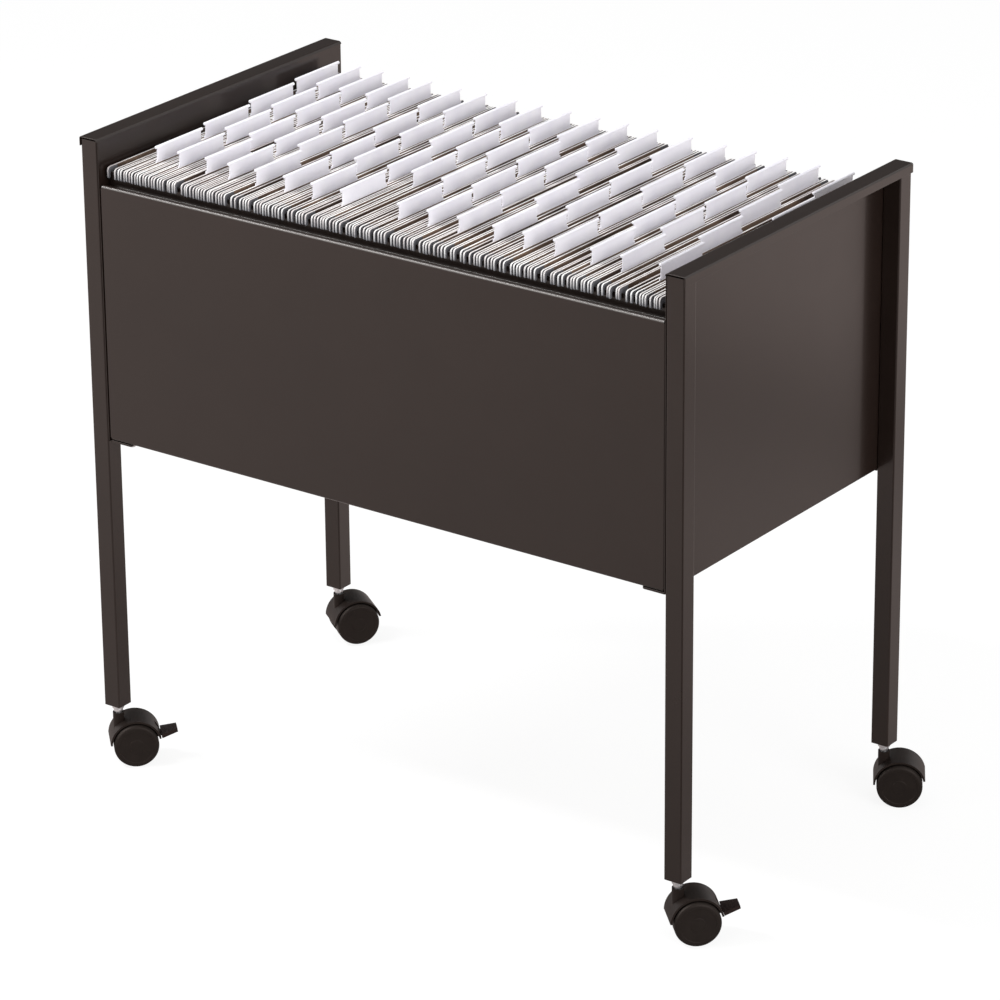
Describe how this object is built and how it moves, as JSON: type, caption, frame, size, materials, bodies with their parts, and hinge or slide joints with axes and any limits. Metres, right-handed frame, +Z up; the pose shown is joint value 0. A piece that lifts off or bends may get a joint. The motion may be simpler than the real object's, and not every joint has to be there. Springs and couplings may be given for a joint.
{
  "type": "mobile file cart",
  "caption": "Open-topped steel cart on castors that carries a row of hanging files with label tabs between folded sheet panels.",
  "frame": {"origin": "on the floor, under the middle of the four legs", "axes": "+X along the row of files to the right, +Y from the front panel to the back panel, +Z up"},
  "size_m": [0.7766, 0.4438, 0.69],
  "materials": {
    "paint": "satin",
    "zinc": "satin",
    "black_plastic": "matte",
    "lever_plastic": "matte",
    "files": "matte"
  },
  "bodies": {
    "cart_frame": {"leg_front_left": "paint", "leg_insert_front_left": "black_plastic", "corner_bracket_front_left": "paint", "bracket_screw_front_left": "zinc", "panel_screw_front_left": "zinc", "leg_front_right": "paint", "leg_insert_front_right": "black_plastic", "corner_bracket_front_right": "paint", "bracket_screw_front_right": "zinc", "panel_screw_front_right": "zinc", "leg_back_left": "paint", "leg_insert_back_left": "black_plastic", "corner_bracket_back_left": "paint", "bracket_screw_back_left": "zinc", "panel_screw_back_left": "zinc", "leg_back_right": "paint", "leg_insert_back_right": "black_plastic", "corner_bracket_back_right": "paint", "bracket_screw_back_right": "zinc", "panel_screw_back_right": "zinc", "end_panel_left": "paint", "end_panel_right": "paint", "front_panel": "paint", "back_panel": "paint", "castor_stem_front_left": "zinc", "castor_stem_front_right": "zinc", "castor_stem_back_left": "zinc", "castor_stem_back_right": "zinc"},
    "castor_front_left": {"castor_hood_front_left": "black_plastic", "castor_axle_front_left": "zinc", "brake_pin_front_left": "zinc"},
    "wheel_a_front_left": {"castor_wheel_a_front_left": "black_plastic"},
    "wheel_b_front_left": {"castor_wheel_b_front_left": "black_plastic"},
    "brake_lever_front_left": {"brake_lever_front_left": "lever_plastic"},
    "castor_front_right": {"castor_hood_front_right": "black_plastic", "castor_axle_front_right": "zinc", "brake_pin_front_right": "zinc"},
    "wheel_a_front_right": {"castor_wheel_a_front_right": "black_plastic"},
    "wheel_b_front_right": {"castor_wheel_b_front_right": "black_plastic"},
    "brake_lever_front_right": {"brake_lever_front_right": "lever_plastic"},
    "castor_back_left": {"castor_hood_back_left": "black_plastic", "castor_axle_back_left": "zinc"},
    "wheel_a_back_left": {"castor_wheel_a_back_left": "black_plastic"},
    "wheel_b_back_left": {"castor_wheel_b_back_left": "black_plastic"},
    "castor_back_right": {"castor_hood_back_right": "black_plastic", "castor_axle_back_right": "zinc"},
    "wheel_a_back_right": {"castor_wheel_a_back_right": "black_plastic"},
    "wheel_b_back_right": {"castor_wheel_b_back_right": "black_plastic"},
    "files_01": {"files_01": "files"},
    "files_02": {"files_02": "files"},
    "files_03": {"files_03": "files"},
    "files_04": {"files_04": "files"},
    "files_05": {"files_05": "files"},
    "files_06": {"files_06": "files"},
    "files_07": {"files_07": "files"},
    "files_08": {"files_08": "files"},
    "files_09": {"files_09": "files"},
    "files_10": {"files_10": "files"},
    "files_11": {"files_11": "files"},
    "files_12": {"files_12": "files"}
  },
  "joints": [
    {"name": "swivel_front_left", "type": "hinge", "parent": "cart_frame", "child": "castor_front_left", "pos_m": [-0.353, -0.189, 0.045], "axis": [0, 0, 1], "continuous": true},
    {"name": "roll_a_front_left", "type": "hinge", "parent": "castor_front_left", "child": "wheel_a_front_left", "pos_m": [-0.34123, -0.17744, 0.0237], "axis": [-0.7009, 0.7133, 0], "continuous": true},
    {"name": "roll_b_front_left", "type": "hinge", "parent": "castor_front_left", "child": "wheel_b_front_left", "pos_m": [-0.34123, -0.17744, 0.0237], "axis": [-0.7009, 0.7133, 0], "continuous": true},
    {"name": "brake_front_left", "type": "hinge", "parent": "castor_front_left", "child": "brake_lever_front_left", "pos_m": [-0.32839, -0.16482, 0.0267], "axis": [-0.7009, 0.7133, 0], "range_deg": [0, 22]},
    {"name": "swivel_front_right", "type": "hinge", "parent": "cart_frame", "child": "castor_front_right", "pos_m": [0.353, -0.189, 0.045], "axis": [0, 0, 1], "continuous": true},
    {"name": "roll_a_front_right", "type": "hinge", "parent": "castor_front_right", "child": "wheel_a_front_right", "pos_m": [0.36477, -0.17744, 0.0237], "axis": [-0.7009, 0.7133, 0], "continuous": true},
    {"name": "roll_b_front_right", "type": "hinge", "parent": "castor_front_right", "child": "wheel_b_front_right", "pos_m": [0.36477, -0.17744, 0.0237], "axis": [-0.7009, 0.7133, 0], "continuous": true},
    {"name": "brake_front_right", "type": "hinge", "parent": "castor_front_right", "child": "brake_lever_front_right", "pos_m": [0.37761, -0.16482, 0.0267], "axis": [-0.7009, 0.7133, 0], "range_deg": [0, 22]},
    {"name": "swivel_back_left", "type": "hinge", "parent": "cart_frame", "child": "castor_back_left", "pos_m": [-0.353, 0.189, 0.045], "axis": [0, 0, 1], "continuous": true},
    {"name": "roll_a_back_left", "type": "hinge", "parent": "castor_back_left", "child": "wheel_a_back_left", "pos_m": [-0.3433, 0.20235, 0.0237], "axis": [-0.809, 0.5878, 0], "continuous": true},
    {"name": "roll_b_back_left", "type": "hinge", "parent": "castor_back_left", "child": "wheel_b_back_left", "pos_m": [-0.3433, 0.20235, 0.0237], "axis": [-0.809, 0.5878, 0], "continuous": true},
    {"name": "swivel_back_right", "type": "hinge", "parent": "cart_frame", "child": "castor_back_right", "pos_m": [0.353, 0.189, 0.045], "axis": [0, 0, 1], "continuous": true},
    {"name": "roll_a_back_right", "type": "hinge", "parent": "castor_back_right", "child": "wheel_a_back_right", "pos_m": [0.36699, 0.19774, 0.0237], "axis": [-0.5299, 0.848, 0], "continuous": true},
    {"name": "roll_b_back_right", "type": "hinge", "parent": "castor_back_right", "child": "wheel_b_back_right", "pos_m": [0.36699, 0.19774, 0.0237], "axis": [-0.5299, 0.848, 0], "continuous": true},
    {"name": "lift_files_01", "type": "slide", "parent": "cart_frame", "child": "files_01", "axis": [0, 0, 1], "range_m": [0, 0.3]},
    {"name": "lift_files_02", "type": "slide", "parent": "cart_frame", "child": "files_02", "axis": [0, 0, 1], "range_m": [0, 0.3]},
    {"name": "lift_files_03", "type": "slide", "parent": "cart_frame", "child": "files_03", "axis": [0, 0, 1], "range_m": [0, 0.3]},
    {"name": "lift_files_04", "type": "slide", "parent": "cart_frame", "child": "files_04", "axis": [0, 0, 1], "range_m": [0, 0.3]},
    {"name": "lift_files_05", "type": "slide", "parent": "cart_frame", "child": "files_05", "axis": [0, 0, 1], "range_m": [0, 0.3]},
    {"name": "lift_files_06", "type": "slide", "parent": "cart_frame", "child": "files_06", "axis": [0, 0, 1], "range_m": [0, 0.3]},
    {"name": "lift_files_07", "type": "slide", "parent": "cart_frame", "child": "files_07", "axis": [0, 0, 1], "range_m": [0, 0.3]},
    {"name": "lift_files_08", "type": "slide", "parent": "cart_frame", "child": "files_08", "axis": [0, 0, 1], "range_m": [0, 0.3]},
    {"name": "lift_files_09", "type": "slide", "parent": "cart_frame", "child": "files_09", "axis": [0, 0, 1], "range_m": [0, 0.3]},
    {"name": "lift_files_10", "type": "slide", "parent": "cart_frame", "child": "files_10", "axis": [0, 0, 1], "range_m": [0, 0.3]},
    {"name": "lift_files_11", "type": "slide", "parent": "cart_frame", "child": "files_11", "axis": [0, 0, 1], "range_m": [0, 0.3]},
    {"name": "lift_files_12", "type": "slide", "parent": "cart_frame", "child": "files_12", "axis": [0, 0, 1], "range_m": [0, 0.3]}
  ]
}
